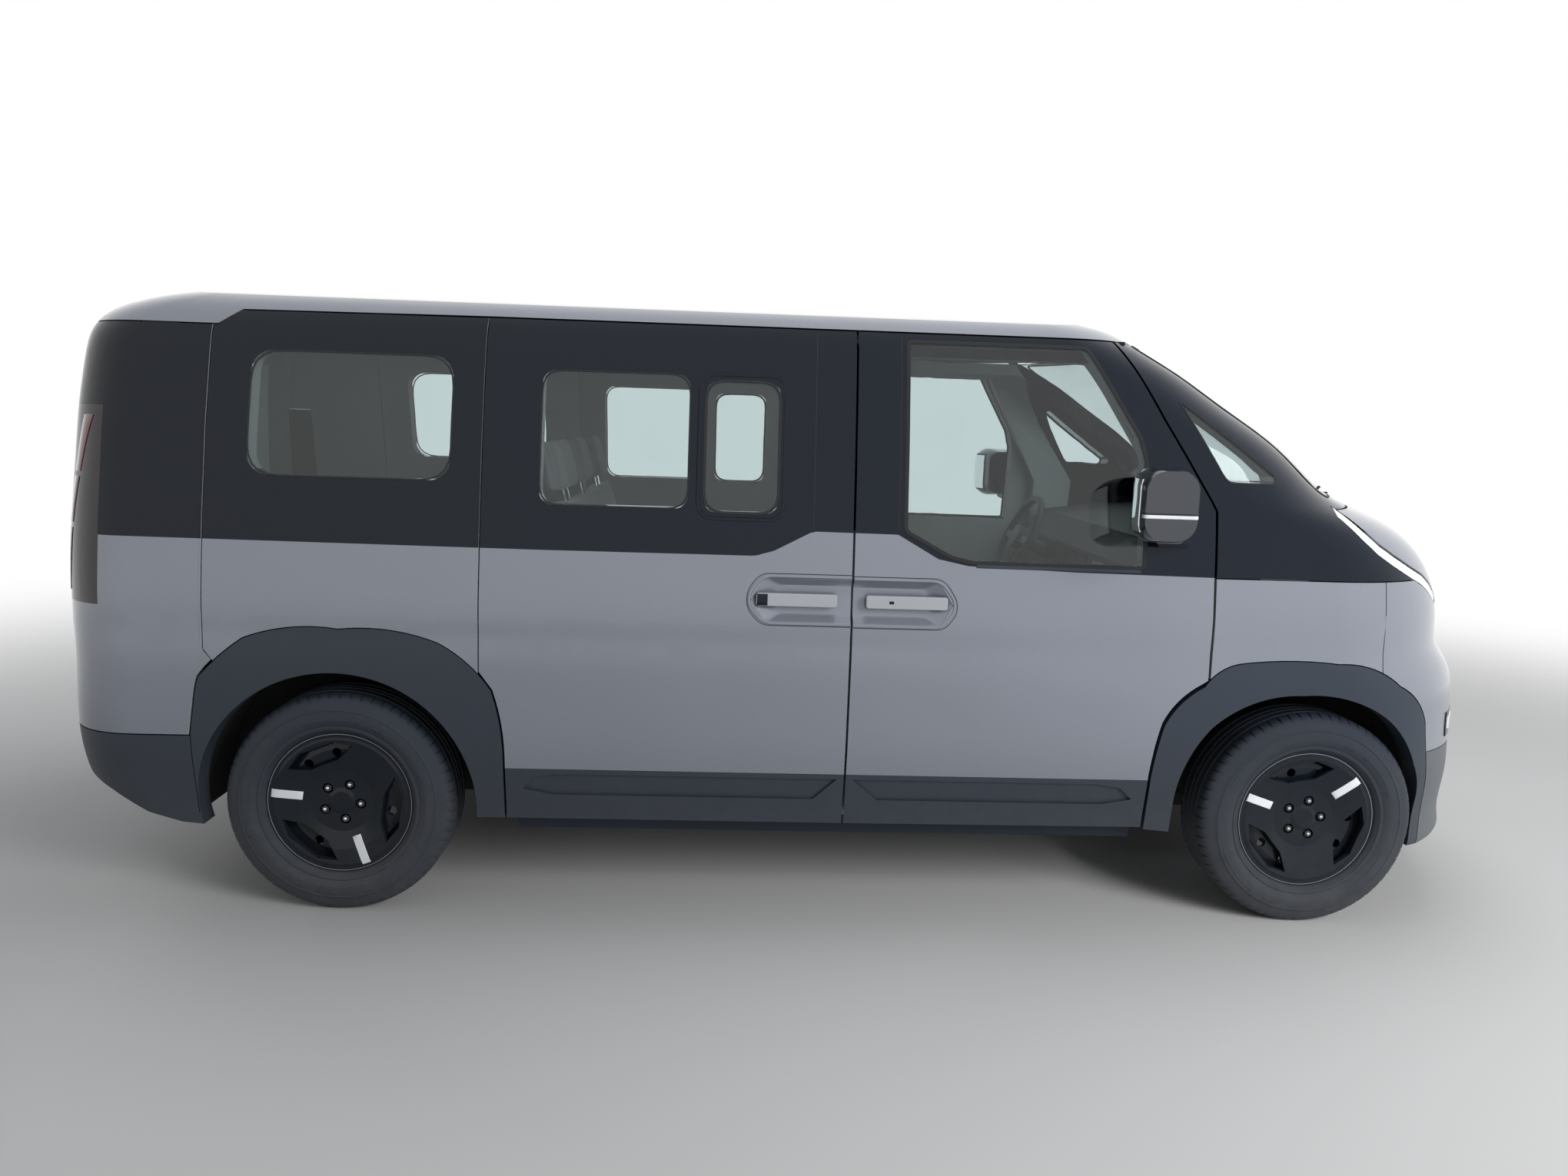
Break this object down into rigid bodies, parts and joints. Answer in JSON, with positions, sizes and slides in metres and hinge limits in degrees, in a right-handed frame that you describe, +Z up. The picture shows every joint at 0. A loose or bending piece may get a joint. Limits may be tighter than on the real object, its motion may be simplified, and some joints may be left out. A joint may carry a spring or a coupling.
{
  "type": "electric minivan",
  "caption": "Electric minivan with a hollow cab and load space, opening front doors, hood and tailgate, steered front wheels and free rolling wheels.",
  "frame": {"origin": "on the ground under the middle of the vehicle", "axes": "+X forward, +Y to the left, +Z up"},
  "size_m": [4.6947, 2.28, 1.899],
  "materials": {
    "paint": "metallic clear coat",
    "satin_metal": "satin silver",
    "glass": "tinted",
    "gloss_black": "gloss",
    "lamp_dark": "smoked lens",
    "lamp_white": "clear lens over white",
    "grey_plastic": "satin",
    "dark_plastic": "satin",
    "liner": "matt",
    "floor": "satin",
    "battery": "cast and sealed",
    "motor": "cast",
    "chassis": "black coated",
    "dash": "grained",
    "seat": "woven",
    "steer": "grained",
    "tyre": "rubber",
    "wheel": "gloss cover"
  },
  "bodies": {
    "body": {"sliding_doors": "paint", "sliding_door_handles": "satin_metal", "side_windows": "glass", "body_sides": "paint", "roof": "paint", "windscreen_frame": "gloss_black", "windscreen": "glass", "headlamps": "lamp_white", "front_wings": "paint", "nose_panel": "paint", "front_bumper": "grey_plastic", "body_cladding": "dark_plastic", "rear_bumper": "dark_plastic", "rear_corners": "paint", "tail_lamps": "lamp_dark", "floor_pan": "floor", "wheel_liners": "liner", "battery_pack": "battery", "drive_motor": "motor", "front_suspension": "chassis", "rear_axle": "chassis", "dashboard": "dash", "front_seats": "seat", "rear_bench": "seat", "steering_wheel": "steer"},
    "front_door_right": {"front_door_right": "paint", "door_cladding_right": "dark_plastic", "door_glass_right": "glass", "door_handle_right": "satin_metal", "mirror_right": "gloss_black"},
    "front_door_left": {"front_door_left": "paint", "door_cladding_left": "dark_plastic", "door_glass_left": "glass", "door_handle_left": "satin_metal", "mirror_left": "gloss_black"},
    "hood": {"hood": "paint"},
    "tailgate": {"tailgate": "paint", "tailgate_glass": "glass"},
    "knuckle_right": {"knuckle_right": "chassis"},
    "knuckle_left": {"knuckle_left": "chassis"},
    "wheel_front_right": {"tyre_front_right": "tyre", "wheel_front_right": "wheel"},
    "wheel_front_left": {"tyre_front_left": "tyre", "wheel_front_left": "wheel"},
    "wheel_rear_right": {"tyre_rear_right": "tyre", "wheel_rear_right": "wheel"},
    "wheel_rear_left": {"tyre_rear_left": "tyre", "wheel_rear_left": "wheel"}
  },
  "joints": [
    {"name": "front_door_right_hinge", "type": "hinge", "parent": "body", "child": "front_door_right", "pos_m": [1.3, -0.922, 0.8], "axis": [0, 0, 1], "range_deg": [0, 65]},
    {"name": "front_door_left_hinge", "type": "hinge", "parent": "body", "child": "front_door_left", "pos_m": [1.3, 0.922, 0.8], "axis": [0, 0, -1], "range_deg": [0, 65]},
    {"name": "hood_hinge", "type": "hinge", "parent": "body", "child": "hood", "pos_m": [1.615, 0, 1.322], "axis": [0, -1, 0], "range_deg": [0, 50]},
    {"name": "tailgate_hinge", "type": "hinge", "parent": "body", "child": "tailgate", "pos_m": [-2.035, 0, 1.845], "axis": [0, 1, 0], "range_deg": [0, 80]},
    {"name": "front_right_steer", "type": "hinge", "parent": "body", "child": "knuckle_right", "pos_m": [1.5725, -0.7825, 0.34], "axis": [0, 0, 1], "range_deg": [-32, 32]},
    {"name": "front_left_steer", "type": "hinge", "parent": "body", "child": "knuckle_left", "pos_m": [1.5725, 0.7825, 0.34], "axis": [0, 0, 1], "range_deg": [-32, 32]},
    {"name": "front_right_spin", "type": "hinge", "parent": "knuckle_right", "child": "wheel_front_right", "pos_m": [1.5725, -0.8175, 0.34], "axis": [0, 1, 0], "continuous": true},
    {"name": "front_left_spin", "type": "hinge", "parent": "knuckle_left", "child": "wheel_front_left", "pos_m": [1.5725, 0.8175, 0.34], "axis": [0, 1, 0], "continuous": true},
    {"name": "rear_right_spin", "type": "hinge", "parent": "body", "child": "wheel_rear_right", "pos_m": [-1.4225, -0.8175, 0.34], "axis": [0, 1, 0], "continuous": true},
    {"name": "rear_left_spin", "type": "hinge", "parent": "body", "child": "wheel_rear_left", "pos_m": [-1.4225, 0.8175, 0.34], "axis": [0, 1, 0], "continuous": true}
  ],
  "couplings": [
    {"joint": "front_left_steer", "follows": "front_right_steer", "ratio": 1}
  ]
}
